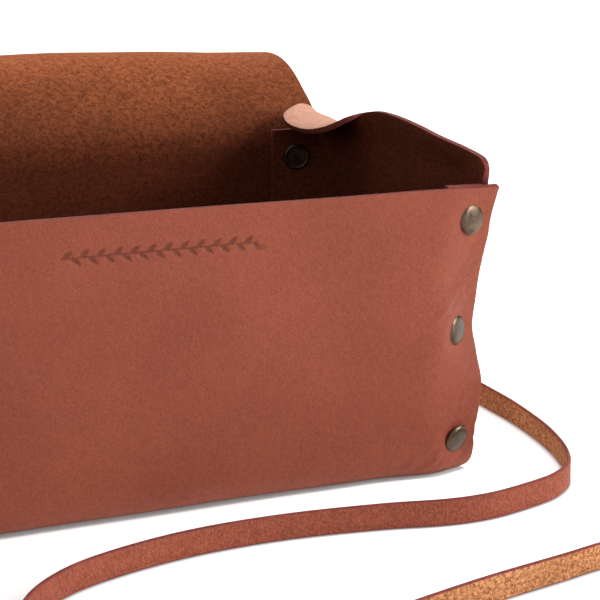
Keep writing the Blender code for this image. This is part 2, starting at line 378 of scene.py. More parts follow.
def plan(s, z, rear):
    """Where the front or back panel's grain face goes round its riveted corner.

    s runs along the sheet from its middle.  Returns x, the way in from the flat face and the turn.
    """
    hand = 1 if s >= 0 else -1
    key = (rear, round(z, 5))
    if key not in _plans:
        turn = math.radians(table(REAR_TURN if rear else FRONT_TURN, z))
        start = table(REAR_START if rear else FRONT_START, z)
        x, inward, samples = start, 0.0, []
        steps = int((HALF + 0.002 - start) / PLAN_STEP) + 1
        for k in range(steps + 1):
            at = start + k * PLAN_STEP
            eased = 1 - EASE_OFF * smooth((at - EASE_OFF_START) / EASE_OFF_RUN)
            phi = turn * smooth((at - start) / TURN_RUN) * eased
            samples.append((x, inward, phi))
            x += PLAN_STEP * math.cos(phi)
            inward += PLAN_STEP * math.sin(phi)
        _plans[key] = (start, samples)
    start, samples = _plans[key]
    far = abs(s)
    if not rear and far > SHRINK_START:
        room = table(FRONT_END, z) - SHRINK_START
        far = SHRINK_START + (far - SHRINK_START) * room / (HALF - SHRINK_START)
    if far <= start:
        return hand * far, 0.0, 0.0
    k = (far - start) / PLAN_STEP
    low = min(int(k), len(samples) - 2)
    part = k - low
    a, b = samples[low], samples[low + 1]
    x, inward, phi = (p + (q - p) * part for p, q in zip(a, b))
    return hand * x, inward, phi


# ------------------------ body: front, base and back
# Height of the front panel's top edge, by place along it
BODY_TOP = ((-0.1135, 0.0945), (0.000, 0.0941), (0.059, 0.0935), (0.094, 0.0932), (0.1135, 0.0923))
# Radius of the folds to the base, and how much tighter they are at the ends
FOLD = 0.0102
FOLD_TIGHTER = 0.0046
# Where the back panel's mesh hands over to the lid's
BACK_CUT = 0.0860
RIVET_Z = (0.0827, 0.0464, 0.0110)
# The face is drawn in by each rivet and stands out in a ring round it: depth, reach and width
HOLLOW, HOLLOW_WIDTH = 0.00045, 0.0052
RING, RING_REACH, RING_WIDTH = 0.00022, 0.0095, 0.0028
BULGE = 0.0011
LEAF_LEFT, LEAF_RIGHT, LEAF_Z = -0.0285, 0.0320, 0.0824
LEAF_PITCH = 0.00505
LEAF_LENGTH, LEAF_HALF = 0.0036, 0.00078
STEM_HALF = 0.00026
LEAF_DEPTH = 0.00042
# How far up the front panel the rows of fine mesh for the leaves start and end, 0 to 1
LEAF_TOP = (0.0862 - FOLD) / (PANEL_TOP - FOLD)
LEAF_LOW = (0.0786 - FOLD) / (PANEL_TOP - FOLD)
# Pull creases by the front right rivets: from (s, z), to (s, z), height and width.  Painted shade
# darkens the valleys, by the number below to the metre of depth.
PAINTED_CREASE_SHADE = 850
CREASE_WANDER = 0.0008
CREASES = (
    ((0.0905, 0.0535), (0.1120, 0.0640), 0.00056, 0.00075),
    ((0.0915, 0.0562), (0.1130, 0.0672), 0.00048, 0.00070),
    ((0.0900, 0.0590), (0.1130, 0.0705), 0.00040, 0.00080),
    ((0.0890, 0.0505), (0.1015, 0.0570), 0.00046, 0.00070),
    ((0.0910, 0.0549), (0.1118, 0.0655), -0.00030, 0.00050),
    ((0.0912, 0.0577), (0.1120, 0.0688), -0.00026, 0.00050),
    ((0.0985, 0.0440), (0.0880, 0.0400), 0.00026, 0.00090),
    ((0.0985, 0.0085), (0.0850, -0.0010), 0.00060, 0.00090),
    ((0.0995, 0.0052), (0.0915, -0.0020), 0.00052, 0.00080),
    ((0.0965, 0.0125), (0.0800, 0.0030), 0.00024, 0.00100),
    ((0.1058, 0.0048), (0.1134, 0.0150), -0.00085, 0.00090),
    ((0.1072, 0.0044), (0.1136, 0.0112), -0.00062, 0.00080),
    ((0.1080, 0.0092), (0.1132, 0.0178), -0.00045, 0.00070),
    ((0.0965, 0.0098), (0.0862, 0.0022), -0.00036, 0.00080),
    ((0.1040, 0.0200), (0.1075, 0.0245), 0.00036, 0.00090),
)


def near_line(s, z, start, end):
    """Distance from a crease and how far along it the point is."""
    ds, dz = end[0] - start[0], end[1] - start[1]
    length2 = ds * ds + dz * dz
    t = ((s - start[0]) * ds + (z - start[1]) * dz) / length2
    clamped = min(max(t, 0.0), 1.0)
    wander = CREASE_WANDER * noise.noise(Vector((s * 90, z * 90, start[0] * 900)))
    return math.hypot(s - start[0] - ds * clamped, z - start[1] - dz * clamped) + wander, clamped


def leaf(s, z):
    """How deep the pressed leaf row is here, 0 to 1."""
    if not LEAF_LEFT - 0.002 < s < LEAF_RIGHT + 0.002 or abs(z - LEAF_Z) > 0.004:
        return 0.0
    depth = 0.0
    if LEAF_LEFT < s < LEAF_RIGHT:
        depth = smooth(1.5 - abs(z - LEAF_Z) / STEM_HALF)
    first = int((s - LEAF_LEFT) / LEAF_PITCH) - 1
    for k in range(first, first + 3):
        root = LEAF_LEFT + 0.0008 + LEAF_PITCH * k
        if root < LEAF_LEFT or root + 0.0040 > LEAF_RIGHT:
            continue
        for way in (1, -1):
            shift = 0.0 if way > 0 else LEAF_PITCH / 2
            u, v = s - root - shift, way * (z - LEAF_Z)
            along = u * 0.80 + v * 0.60
            across = -u * 0.60 + v * 0.80
            t = along / LEAF_LENGTH
            if 0.06 < t < 1:
                half = LEAF_HALF * math.sin(math.pi * t ** 0.8) + 0.00005
                vein = 0.75 + 0.25 * smooth(abs(across) / 0.0003)
                depth = max(depth, smooth(1.4 - abs(across) / half * 1.1) * vein)
    return depth


def creases(s, z):
    """How far the pull creases stand out here, and how much painted shade darkens the valleys, 0 to 1."""
    out = dark = 0.0
    for start, end, height, width in CREASES:
        reach, along = near_line(s, z, start, end)
        fade = (smooth(along / 0.25) * smooth((1 - along) / 0.3 + 0.25)
                * smooth((z - 0.0015) / 0.006))
        out += height * fade * (bell(reach, width) - 0.6 * bell(reach - 2 * width, width))
        # Painted shade in the valleys, darker where they are deeper.
        if height < 0:
            dark = max(dark, PAINTED_CREASE_SHADE * -height * fade * bell(reach, width))
    return out, dark


def panel_relief(s, z, rear):
    """How far the face stands out from its plain shape: by the rivets, creases and leaves."""
    out = 0.0
    for rivet_z in RIVET_Z:
        reach = math.hypot(abs(s) - (REAR_RIVET_S if rear else RIVET_S), z - rivet_z)
        out -= HOLLOW * bell(reach, HOLLOW_WIDTH)
        out += RING * bell(reach - RING_REACH, RING_WIDTH)
    if rear:
        out += 0.00035 * noise.noise(Vector((s * 24, z * 30, 8)))
        return out * smooth((BACK_CUT - z) / 0.008)
    out += BULGE * math.sin(math.pi * min(max(z / PANEL_TOP, 0), 1)) * math.cos(s * 13.5)
    out += 0.0004 * noise.noise(Vector((s * 22, z * 26, 4)))
    if s > 0.07:
        out += creases(s, z)[0]
    elif s < -0.07:
        out += (0.00015 * math.sin((z + 0.3 * s) * 900)
                * bell(abs(s) - 0.098, 0.007) * bell(z - 0.058, 0.008))
    return out - LEAF_DEPTH * leaf(s, z)


def body_rows():
    """(part, place on it) down the front, under the base and up the back, on the grain face.

    The place runs 0 to 1 up a panel, -1 to 1 across the base, and in degrees round a fold.
    """
    rows = [("front", t) for t in spaced(1.0, LEAF_TOP, 0.010)]
    rows += [("front", t) for t in spaced(LEAF_TOP, LEAF_LOW, 0.0042)[1:]]
    rows += [("front", t) for t in spaced(LEAF_LOW, 0.0, 0.0105)[1:]]
    rows += [("front fold", t) for t in spaced(0, 90, 9)[1:]]
    rows += [("base", t) for t in spaced(-1.0, 1.0, 0.09)[1:]]
    rows += [("rear fold", t) for t in spaced(0, 90, 9)[1:]]
    rows += [("rear", t) for t in spaced(0.0, 1.0, 0.024)[1:]]
    return rows


def fold_radius(s):
    return FOLD - FOLD_TIGHTER * smooth((abs(s) - 0.070) / 0.030)


def body_point(s, row):
    """A point of the body sheet, s along the bag and on one of body_rows."""
    kind, t = row
    half = DEPTH / 2
    fold = fold_radius(s)
    if kind == "base":
        y = t * (half - fold)
        fade_front = smooth(1 - (y + half - fold) / 0.030)
        fade_rear = smooth(1 - (half - fold - y) / 0.030)
        front_x, front_in, _ = plan(s, 0.0, False)
        rear_x, rear_in, _ = plan(s, 0.0, True)
        x = s + (front_x - s) * fade_front + (rear_x - s) * fade_rear
        return Vector((x, y + front_in * fade_front - rear_in * fade_rear, 0.0))
    rear = kind.startswith("rear")
    if kind.endswith("fold"):
        down, out = math.sin(math.radians(t)), math.cos(math.radians(t))
        if rear:
            down, out = out, down
        z, tuck = fold * (1 - down), fold * (1 - out)
    else:
        top = BACK_CUT if rear else table(BODY_TOP, s)
        z, tuck, down, out = fold + (top - fold) * t, 0.0, 0.0, 1.0
    x, inward, phi = plan(s, z, rear)
    relief = panel_relief(s, z, rear)
    hand, way = 1 if s >= 0 else -1, 1 if rear else -1
    return Vector((x + hand * relief * math.sin(phi) * out,
                   way * (half - tuck - inward + relief * out * math.cos(phi)),
                   z - relief * down))


def body():
    """The one sheet that is the front, the base and the back."""
    stations = spaced(-HALF, -SHRINK_START, 0.0009)
    stations += spaced(-SHRINK_START, LEAF_LEFT - 0.001, 0.0030)[1:]
    stations += spaced(LEAF_LEFT - 0.001, LEAF_RIGHT + 0.001, 0.00042)[1:]
    stations += spaced(LEAF_RIGHT + 0.001, SHRINK_START, 0.0025)[1:]
    stations += spaced(SHRINK_START, HALF, 0.00075)[1:]
    rows = body_rows()
    columns = [[body_point(s, row) for row in rows] for s in stations]
    levels = [FOLD + (PANEL_TOP - FOLD) * t if kind == "front" else -1 for kind, t in rows]

    # The mark: how deep the leaf row is pressed, and the painted shade in the crease valleys.
    def pressed(i, j):
        s, z = stations[i], levels[j]
        if z <= 0:
            return 0.0
        return max(leaf(s, z), creases(s, z)[1] if s > 0.09 else 0.0)

    item = add("body_leather", grid_mesh("body_leather", columns, flip=True, mark=pressed,
                                         cut_rows=(len(rows) - 1,)))
    thicken(item, GRAIN)
    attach(item, "bag")
    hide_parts("body_panel")
    return item


# ------------------------ sides with their ears
# Where the web, the flat part between the corners, stands
WEB_X = 0.1123
WEB_STEPS = 76
# Where along the body sheet the flanges start and their corners are
FRONT_FLANGE_START = 0.0962
REAR_FLANGE_START = 0.0912
CORNER_S = 0.1112
REAR_CORNER_S = 0.1102
FLANGE_GAP = 0.00025
CORNER_ROUNDING = 7
SIDE_TOP = 0.0942
SIDE_FOOT = 0.0066
WEB_FOOT = 0.0085
# How much further down the flanges and corners reach
FLANGE_DROP = 0.0020
# How much lower the left side is cut, and the height over which each ear bends at its fold
LEFT_LOW = 0.0018
RIGHT_BEND, LEFT_BEND = 0.0026, 0.0036
# Rows of the foot flange from its free edge up to the web: how far in, and their height
FOOT_ROWS = (
    (0.0210, 0.0044), (0.0150, 0.0044), (0.0090, 0.0044), (0.0050, 0.0044), (0.0030, 0.0045),
    (0.0015, 0.0049), (0.0006, 0.0056),
)
LOOSE_FOOT_ROWS = 3
# The part of the side's top edge that carries the ear, along Y
EAR_NEAR, EAR_FAR = -0.0610, 0.0587
EAR_STEPS = 12
# The curled ear's free edge: (place along its fold, x, y, z) in millimetres
CURLED_EAR = (
    (-60.8, 112.1, -61.9, 98.2), (-60.1, 111.9, -61.4, 99.9), (-59.2, 111.8, -60.2, 101.1),
    (-57.5, 111.6, -58.0, 101.8), (-52.0, 111.3, -52.8, 102.6), (-44.0, 110.8, -45.2, 103.5),
    (-31.0, 110.7, -31.3, 104.5), (-17.0, 110.7, -17.3, 105.9), (-3.0, 110.7, -2.7, 106.8),
    (9.0, 110.5, 9.5, 106.8), (17.0, 110.0, 16.5, 105.9), (25.0, 108.0, 23.4, 104.4),
    (31.0, 104.3, 27.2, 102.6), (36.0, 100.8, 29.8, 100.4), (41.0, 97.8, 32.8, 98.8),
    (45.5, 95.3, 37.4, 97.7), (49.5, 93.8, 44.2, 97.4), (53.0, 93.2, 51.8, 98.1),
    (55.4, 94.0, 57.6, 99.7), (57.0, 96.3, 61.0, 100.9), (58.4, 99.8, 62.9, 101.9),
)
# Height of the plain ear over its fold, by place along it
PLAIN_EAR = (
    (-0.0608, 0.0012), (-0.0598, 0.0052), (-0.0570, 0.0088), (-0.0500, 0.0110),
    (-0.0300, 0.0126), (0.0000, 0.0140), (0.0300, 0.0154), (0.0440, 0.0150),
    (0.0520, 0.0120), (0.0565, 0.0070), (0.0586, 0.0014),
)
# How far in the plain ear steps at its fold
EAR_STEP = 0.0017


def curled_ear(root, t):
    """A point of the right ear, which curls in at its rear, t of the way to its free edge."""
    x, y, z = (v / 1000 for v in spline_at(CURLED_EAR, root.y * 1000))
    tip = Vector((x, y, z))
    lean = smooth((root.y - 0.016) / 0.030)
    rise = (tip - root).length
    far = smooth((root.y - 0.040) / 0.012)
    first = root + Vector((0.0004 * lean, 0.0045 * lean,
                           rise * (0.30 + 0.08 * far) + 0.0016 * far))
    second = tip + Vector((0.0065 * lean, 0.0030 * lean,
                           0.0034 * lean - rise * 0.33 * (1 - lean)))
    a, b, c, d = (1 - t) ** 3, 3 * t * (1 - t) ** 2, 3 * t * t * (1 - t), t ** 3
    return root * a + first * b + second * c + tip * d


def plain_ear(root, t):
    """A point of the left ear, stepped in so that it lies under the lid's waves once folded."""
    height = table(PLAIN_EAR, root.y)
    step = EAR_STEP * smooth(height * t / 0.0024)
    lean = (0.0012 + 0.0035 * smooth((root.y + 0.01) / 0.06)) * smooth(height / 0.010)
    return Vector((root.x - step - lean * t * t, root.y * (1 - 0.01 * t), root.z + height * t))


def side_path(z):
    """Plan of a side panel's outer face at one height, and where on it the web starts and ends.

    It goes along the front flange, round a corner, along the web, and back along the rear flange.
    """
    half = DEPTH / 2
    inset = LEATHER + FLANGE_GAP
    front, rear = [], []
    for s in spaced(FRONT_FLANGE_START, CORNER_S, 0.0014):
        x, inward, phi = plan(s, z, False)
        front.append(Vector((x - inset * math.sin(phi), -half + inward + inset * math.cos(phi))))
    for s in spaced(REAR_FLANGE_START, REAR_CORNER_S, 0.0016):
        x, inward, phi = plan(s, z, True)
        rear.append(Vector((x - inset * math.sin(phi), half - inward - inset * math.cos(phi))))
    a, b = front[-1], rear[-1]
    web = []
    for k in range(1, WEB_STEPS):
        t = k / WEB_STEPS - 0.6 * math.sin(2 * math.pi * k / WEB_STEPS) / (2 * math.pi)
        ease = smooth(t / 0.10) * smooth((1 - t) / 0.10)
        x = (a.x + (b.x - a.x) * t) * (1 - ease) + WEB_X * ease
        web.append(Vector((x, a.y + (b.y - a.y) * t)))
    path = front + web + rear[::-1]
    for _ in range(CORNER_ROUNDING):
        inner = [(p + 2 * q + r) / 4 for p, q, r in zip(path, path[1:], path[2:])]
        path = [path[0]] + inner + [path[-1]]
    return path, len(front), len(front) + len(web)


def side(name, hand, ear, body_name, ear_node, panel_node):
    """One side panel with its flanges and the ear that carries on above it."""
    levels = [SIDE_FOOT] + spaced(WEB_FOOT, 0.0900, 0.0026) + [0.0915, 0.0929, SIDE_TOP]
    first_web = last_web = 0
    paths = []
    for z in levels:
        path, first_web, last_web = side_path(z)
        paths.append(path)

    def folds_in(i, margin):
        """Whether the foot flange reaches this column, so many short of the web's ends."""
        return first_web + margin <= i < last_web - margin

    columns = []
    roots = []
    for i, base in enumerate(paths[0]):
        column = []
        for inward, z in FOOT_ROWS:
            pull = inward if first_web <= i < last_web else 0.0
            column.append(Vector((base.x - pull, base.y * (1 - 0.03 * (pull > 0)), z)))
        # The right side's front flange is cut lower towards its corner
        low = 0.0005 + 0.0014 * min(i / first_web, 1.0)
        low *= 1 - smooth((i - first_web) / 5)
        if hand < 0:
            low = LEFT_LOW
        drop = 0.0 if folds_in(i, 2) else FLANGE_DROP
        for z, path in zip(levels, paths):
            fall = low * smooth((z - 0.080) / 0.012) + drop * smooth((WEB_FOOT - z) / 0.002)
            column.append(Vector((path[i].x, path[i].y, z - fall)))
        root = column[-1]
        roots.append(root)
        for k in range(1, EAR_STEPS + 1):
            column.append(ear(root, k / EAR_STEPS))
        if hand < 0:
            for p in column:
                p.x = -p.x
        columns.append(column)
    ear_row = len(FOOT_ROWS) + len(levels) - 1
    ear_columns = [i for i in range(first_web, last_web) if EAR_NEAR < roots[i].y < EAR_FAR]

    def hole(i, j):
        if j < len(FOOT_ROWS):
            margin = 4 if j < LOOSE_FOOT_ROWS else 2
            return not (folds_in(i, margin) and folds_in(i + 1, margin))
        return j >= ear_row and not (ear_columns[0] <= i < ear_columns[-1])

    def curl_highlight(i, j):
        """How much painted highlight makes the grain paler, where the curled ear bends most."""
        if ear is not curled_ear:
            return 0.0
        reach = max(0, j - ear_row) / EAR_STEPS
        return smooth(reach / 0.6) * smooth((roots[i].y - 0.022) / 0.024)

    item = add(name, grid_mesh(name, columns, hole, flip=hand < 0, mark=curl_highlight))
    thicken(item, GRAIN, even=False, edge=0.0003)
    fold_z, bend = (SIDE_TOP, RIGHT_BEND) if hand > 0 else (SIDE_TOP - LEFT_LOW, LEFT_BEND)
    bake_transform(item, "bag", body_name, start=(hand * WEB_X, 0, fold_z),
             end=(hand * WEB_X, 0, fold_z + bend))
    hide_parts(panel_node, ear_node)
    return item


# ------------------------ lid
# The flesh face's line from the back panel over the crest and down behind, (y, z) in millimetres
LID_LINE = (
    (63.0, 84.0), (63.0, 87.0), (63.25, 89.8), (64.0, 92.3), (65.4, 94.7), (67.5, 97.0),
    (70.3, 99.5), (74.3, 102.5), (79.6, 105.7), (84.4, 108.7), (89.4, 111.3), (95.5, 113.6),
    (103.2, 115.2), (112.0, 115.6), (120.5, 114.6), (128.5, 111.2), (137.0, 105.0),
    (147.5, 95.3), (158.0, 84.7), (167.0, 74.6), (173.6, 64.8), (177.6, 54.0), (180.6, 41.0),
    (183.6, 27.0), (186.3, 13.0), (188.1, 3.4),
)
LID_HALF = 0.1120
LID_CORNER = 0.012
LINE_STEP = 0.001
# Height of the lid's fold from the back, and of the back's plan that its first section follows
FOLD_HEIGHT = 0.0936
ROOT_HEIGHT = 0.0905
# How much higher the lid's crest is than its line, by place along the bag
CREST = (
    (-0.112, 0.0028), (-0.060, 0.0033), (-0.020, 0.0040), (0.000, 0.0045), (0.033, 0.0045),
    (0.060, 0.0032), (0.090, 0.0018), (0.112, 0.0006),
)
# Where along the line the lid's sections are cut, and the row of mesh close to each cut
CUT_BACK, CUT_CROWN, CUT_FRONT = 0.0170, 0.0520, 0.1020
CUT_MARGIN = 0.0004


def lid_line():
    """Points along the lid's line a millimetre apart, and which is at its fold from the back."""
    points = catmull([(0, y / 1000, z / 1000) for y, z in LID_LINE], LINE_STEP)
    origin = next(k for k, p in enumerate(points) if p.z > FOLD_HEIGHT)
    return points, origin


LINE, LINE_ORIGIN = lid_line()
LID_START = -LINE_ORIGIN * LINE_STEP
LID_END = (len(LINE) - 1 - LINE_ORIGIN) * LINE_STEP


def line_at(s):
    """Place and direction on the lid's line, s from its back fold."""
    k = min(max(LINE_ORIGIN + s / LINE_STEP, 0.0), len(LINE) - 1.001)
    low = int(k)
    a, b = LINE[low], LINE[low + 1]
    before, after = LINE[max(low - 1, 0)], LINE[min(low + 2, len(LINE) - 1)]
    part = k - low
    heading = ((b - before) * (1 - part) + (after - a) * part).normalized()
    return a.lerp(b, part), heading


def lid_point(x, s):
    """A point of the lid's flesh face, s along its line and x along the bag."""
    place, heading = line_at(s)
    up = Vector((0, -heading.z, heading.y))
    crest = table(CREST, x) * bell(s - 0.053, 0.021) * smooth(s / 0.02)
    belly = 0.0004 * noise.noise(Vector((x * 14, s * 16, 2))) * smooth((s - 0.004) / 0.02)
    left_rise = 0.0014 * smooth((-x - 0.005) / 0.07) * bell(s - 0.088, 0.018)
    drift = 0.0003 * noise.noise(Vector((x * 40, s * 40, 5))) * smooth((s - 0.01) / 0.03)
    point = place + up * (crest + belly + left_rise + drift)
    point.x = x
    return point


def lid_root_point(x, s):
    """A point of the lid's first section, whose lower end follows the back's turned-in corners."""
    back_x, inward, _ = plan(x * HALF / LID_HALF, ROOT_HEIGHT, True)
    ease = smooth(-s / 0.008 + 0.3)
    point = lid_point(x, s)
    point.x = x + (back_x - x) * ease
    point.y -= inward * ease
    return point


def lid_free_point(x, s):
    """A point of the lid's other sections, the last of which has rounded corners."""
    trim = 0.0
    if s > LID_END - LID_CORNER:
        deep = s - (LID_END - LID_CORNER)
        trim = LID_CORNER - math.sqrt(max(LID_CORNER ** 2 - deep ** 2, 0.0))
    half = LID_HALF - trim
    return lid_point(x * half / LID_HALF, s)


def lid_piece(name, start, end, bodies, bend, node):
    """The lid from start to end along its line; it bends onto its second body within bend."""
    last = end == LID_END
    stations = spaced(start, end, 0.0022)
    if start > LID_START:
        stations.insert(1, start + CUT_MARGIN)
    if not last:
        stations.insert(-1, end - CUT_MARGIN)
    point = lid_root_point if start == LID_START else lid_free_point
    columns = [[point(x, s) for s in stations] for x in spaced(-LID_HALF, LID_HALF, 0.0028)]
    cut_rows = (0,) if last else (0, len(stations) - 1)
    item = add(name, grid_mesh(name, columns, cut_rows=cut_rows))
    thicken(item, FLESH)
    near, _ = line_at(bend[0])
    far, _ = line_at(bend[1])
    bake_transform(item, *bodies, start=tuple(near), end=tuple(far))
    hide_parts(node)
    return item


def lid():
    """The lid's four sections, from the back panel on."""
    return [
        lid_piece("lid_from_back", LID_START, CUT_BACK,
                  ("bag", "lid_back"), (-0.0025, 0.0045), "lid_back"),
        lid_piece("lid_over_crown", CUT_BACK, CUT_CROWN,
                  ("lid_back", "lid_crown"), (0.0215, 0.0495), "lid_crown"),
        lid_piece("lid_falling", CUT_CROWN, CUT_FRONT,
                  ("lid_crown", "lid_front"), (0.0570, 0.0850), "lid_front"),
        lid_piece("lid_drop_flap", CUT_FRONT, LID_END,
                  ("lid_front", "lid_drop"), (0.1275, 0.1405), "lid_drop"),
    ]


# ------------------------ rivets
# The cap outside and the cap inside: (radius, height over the leather) in millimetres
CAP = (
    (0.0, 1.34), (1.4, 1.32), (2.7, 1.23), (3.6, 1.09), (4.25, 0.86), (4.65, 0.55), (4.88, 0.26),
    (5.00, 0.02), (4.94, -0.16), (4.70, -0.26),
)
BACK_CAP = (
    (0.0, 0.80), (2.6, 0.79), (3.5, 0.78), (3.8, 0.84), (4.05, 0.98), (4.4, 0.97), (4.7, 0.62),
    (4.86, 0.10), (4.80, -0.16), (4.55, -0.26),
)
STACK = 2 * LEATHER + 0.00035
LATHE_STEPS = 56
REAR_TOP_RIVET_Z = 0.0844
# How far the caps sink into the leather; the lowest front ones stand just clear of it
SINK, LOW_SINK = 0.00030, -0.00005
# How the caps lean: the lowest outwards and down, the top ones up
LOW_LEAN = (0.06, -0.26)
TOP_LEAN = 0.05
STRAP_RIVET_PLACE = (0.0, 0.0672, 0.016)
STRAP_RIVET_SCALE, STRAP_RIVET_STACK = 0.72, 0.0043


def lathe(name, profile, split):
    """A round piece turned about local Z, its profile in metres from top to bottom.

    Below the split'th ring it takes the second material.
    """
    bm = bmesh.new()
    rings = []
    for radius, height in profile:
        if radius < 0.00001:
            rings.append([bm.verts.new((0, 0, height))])
            continue
        ring = []
        for k in range(LATHE_STEPS):
            angle = 2 * math.pi * k / LATHE_STEPS
            spot = (radius * math.cos(angle), radius * math.sin(angle), height)
            ring.append(bm.verts.new(spot))
        rings.append(ring)
    for level, (upper, lower) in enumerate(zip(rings, rings[1:])):
        for k in range(LATHE_STEPS):
            j = (k + 1) % LATHE_STEPS
            corners = [upper[k % len(upper)], lower[k % len(lower)],
                       lower[j % len(lower)], upper[j % len(upper)]]
            face = bm.faces.new(list(dict.fromkeys(corners)))
            face.smooth = True
            face.material_index = 1 if level >= split else 0
    bmesh.ops.recalc_face_normals(bm, faces=bm.faces)
    return to_mesh(name, bm)


def rivet_profile(scale, stack):
    """The rivet's outline, cap to cap through a stack of leather, its zero on the outer face."""
    top = [(r * scale / 1000, h * scale / 1000) for r, h in CAP]
    post = 0.0015 * scale
    sink = -0.00026 * scale
    low = -stack - sink
    bottom = [(r * scale / 1000, -stack - h * scale / 1000) for r, h in reversed(BACK_CAP)]
    return top + [(post, sink), (post, low)] + bottom


def rivet(name, place, outward, nodes, scale=1.0, stack=STACK):
    """One rivet, its cap, post and inner cap together."""
    item = add(name, lathe(name, rivet_profile(scale, stack), len(CAP) + 1))
    turn = outward.to_track_quat("Z", "Y").to_matrix().to_4x4()
    item.matrix_world = Matrix.Translation(place) @ turn
    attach(item, "bag")
    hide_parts(*nodes)
    return item


def corner_rivets():
    """Three rivets down each upright corner, and the one that holds the strap."""
    made = []
    for hand, end in ((1, "right"), (-1, "left")):
        for rear, face in ((False, "front"), (True, "rear")):
            for level, z in zip(("top", "middle", "bottom"), RIVET_Z):
                s = REAR_RIVET_S if rear else TOP_RIVET_S if level == "top" else RIVET_S
                if rear and level == "top":
                    z = REAR_TOP_RIVET_Z
                x, inward, phi = plan(s, z, rear)
                out = 1 if rear else -1
                normal = Vector((hand * math.sin(phi), out * math.cos(phi), 0))
                sink = LOW_SINK if level == "bottom" and not rear else SINK
                place = Vector((hand * x, out * (DEPTH / 2 - inward), z)) - normal * sink
                if level == "bottom":
                    out_lean, down_lean = LOW_LEAN
                    normal = (normal + Vector((hand * out_lean, 0, down_lean))).normalized()
                if level == "top":
                    normal = (normal + Vector((0, 0, TOP_LEAN))).normalized()
                name = "rivet_%s_%s_%s" % (face, end, level)
                made.append(rivet(name + "_detail", place, normal, (name + "_cap", name + "_back")))
    made.append(rivet("rivet_strap_detail", Vector(STRAP_RIVET_PLACE), Vector((0, 1, 0)),
                      ("rivet_strap_cap", "rivet_strap_back"), STRAP_RIVET_SCALE,
                      STRAP_RIVET_STACK))
    return made


# ------------------------ materials
def toned(colour, factor):
    """A colour made darker or lighter."""
    return tuple(min(1.0, c * factor) for c in colour)


class Nodes:
    """Short calls for building one material's nodes."""

    def __init__(self, name):
        self.material = bpy.data.materials.new(name)
        self.material.use_nodes = True
        self.tree = self.material.node_tree
        self.shader = self.tree.nodes["Principled BSDF"]
        self.place = self.node("ShaderNodeTexCoord").outputs["Object"]

    def node(self, kind, inputs=(), **settings):
        """A new node, its settings made and its inputs set or linked."""
        made = self.tree.nodes.new(kind)
        for key, value in settings.items():
            setattr(made, key, value)
        for key, value in dict(inputs).items():
            self.link(value, made.inputs[key])
        return made

    def link(self, source, target):
        if isinstance(source, (int, float)):
            target.default_value = source
        elif isinstance(source, tuple):
            target.default_value = (*source, 1.0)[:4]
        else:
            self.tree.links.new(source, target)

    def stretched(self, scale):
        made = self.node("ShaderNodeMapping")
        self.link(self.place, made.inputs["Vector"])
        made.inputs["Scale"].default_value = scale
        return made.outputs["Vector"]

    def noise(self, scale, detail=3.0, rough=0.5, warp=0.0, place=None):
        inputs = {"Vector": place or self.place, "Scale": scale, "Detail": detail,
                  "Roughness": rough, "Distortion": warp}
        return self.node("ShaderNodeTexNoise", inputs).outputs["Fac"]

    def cell_edges(self, scale, place):
        made = self.node("ShaderNodeTexVoronoi", {"Vector": place, "Scale": scale},
                         feature="DISTANCE_TO_EDGE")
        return made.outputs["Distance"]

    def span(self, value, low, high, to_low=0.0, to_high=1.0):
        inputs = {"Value": value, "From Min": low, "From Max": high,
                  "To Min": to_low, "To Max": to_high}
        return self.node("ShaderNodeMapRange", inputs).outputs["Result"]

    def mix(self, share, a, b):
        made = self.node("ShaderNodeMix", data_type="RGBA")
        for socket, value in ((0, share), (6, a), (7, b)):
            self.link(value, made.inputs[socket])
        return made.outputs[2]

    def math(self, operation, a, b):
        return self.node("ShaderNodeMath", {0: a, 1: b}, operation=operation).outputs[0]

    def axis(self, name):
        return self.node("ShaderNodeSeparateXYZ", {0: self.place}).outputs[name]

    def attribute(self, name):
        return self.node("ShaderNodeAttribute", attribute_name=name).outputs["Fac"]

    def bump(self, height, distance, strength, under=None):
        inputs = {"Distance": distance, "Strength": strength, "Height": height}
        if under:
            inputs["Normal"] = under
        return self.node("ShaderNodeBump", inputs).outputs["Normal"]

    def finish(self, colour, rough, normal, **sockets):
        self.link(colour, self.shader.inputs["Base Color"])
        self.link(rough, self.shader.inputs["Roughness"])
        if normal:
            self.link(normal, self.shader.inputs["Normal"])
        for key, value in sockets.items():
            socket = self.shader.inputs[key.replace("_", " ")]
            socket.default_value = (*value, 1.0)[:4] if isinstance(value, tuple) else value
        return self.material


